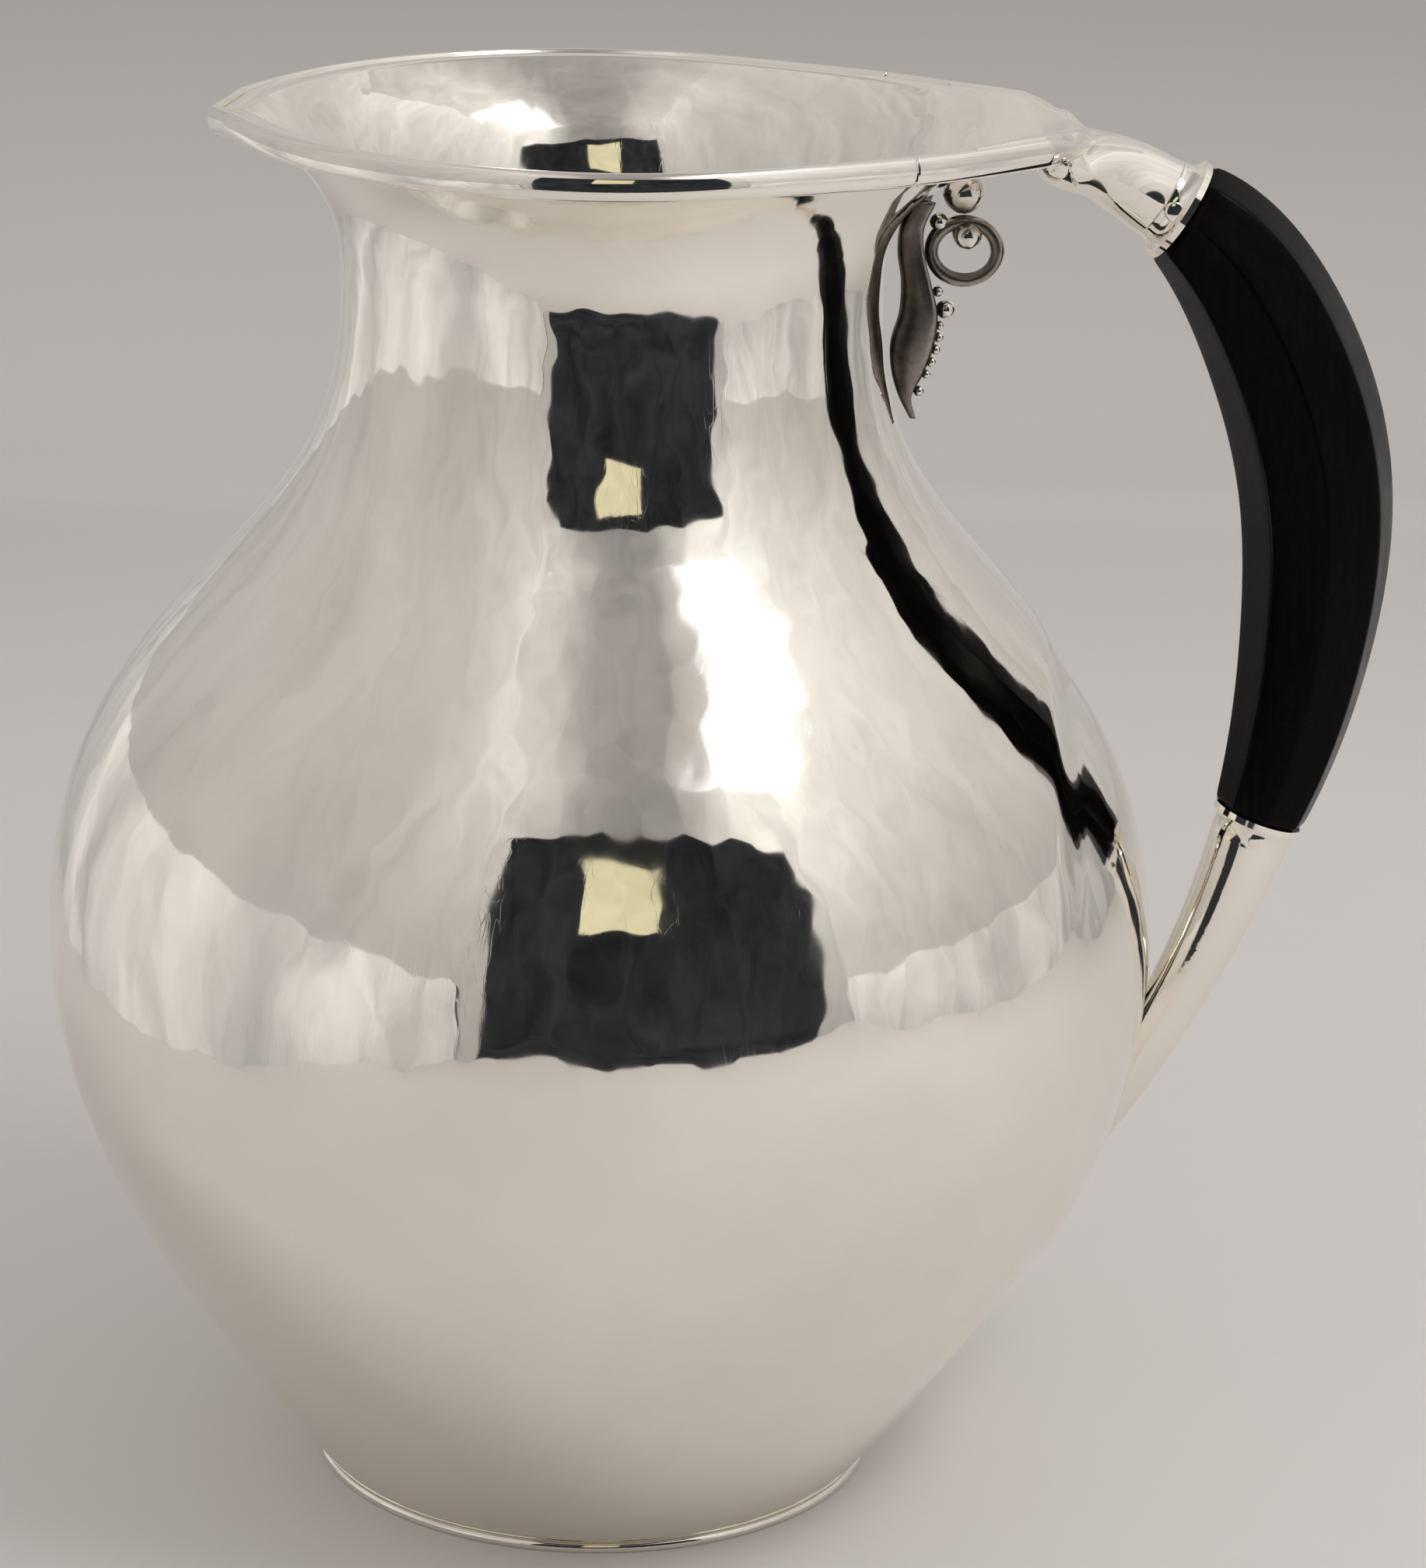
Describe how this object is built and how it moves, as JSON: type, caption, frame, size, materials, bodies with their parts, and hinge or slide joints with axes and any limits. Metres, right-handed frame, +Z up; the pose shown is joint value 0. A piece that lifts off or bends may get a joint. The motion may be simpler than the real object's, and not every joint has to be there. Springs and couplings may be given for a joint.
{
  "type": "water pitcher",
  "caption": "Silver water pitcher with a pear-shaped body, flared pointed mouth, black faceted wooden handle in silver sockets, and a leaf-and-bead ornament under the rim.",
  "frame": {"origin": "centre of the foot on the surface the pitcher stands on", "axes": "+Z up, +X towards the handle, -X towards the spout, +Y completes the right-handed frame; y = 0 is the plane of symmetry"},
  "size_m": [0.2042, 0.1702, 0.214],
  "materials": {
    "silver": "hand-raised and polished, with fine wear scratches",
    "oxidised_silver": "silver darkened in the hollows and rubbed bright on the crests",
    "ebony": "close-grained, waxed to a low satin"
  },
  "bodies": {
    "root": {"vessel": "silver", "rim_wire": "silver", "foot_ring": "silver", "upper_socket": "silver", "upper_collar": "silver", "lower_collar": "silver", "lower_socket": "silver", "upper_pin": "silver", "lower_pin": "silver", "handle_grip": "ebony", "leaf": "oxidised_silver", "tendril_ring": "oxidised_silver", "top_bead": "oxidised_silver", "ring_bead": "oxidised_silver", "bud_bead": "oxidised_silver", "leaf_bead_1": "oxidised_silver", "leaf_bead_2": "oxidised_silver", "leaf_bead_3": "oxidised_silver", "leaf_bead_4": "oxidised_silver", "leaf_bead_5": "oxidised_silver", "leaf_bead_6": "oxidised_silver", "leaf_bead_7": "oxidised_silver", "leaf_bead_8": "oxidised_silver"}
  },
  "joints": []
}
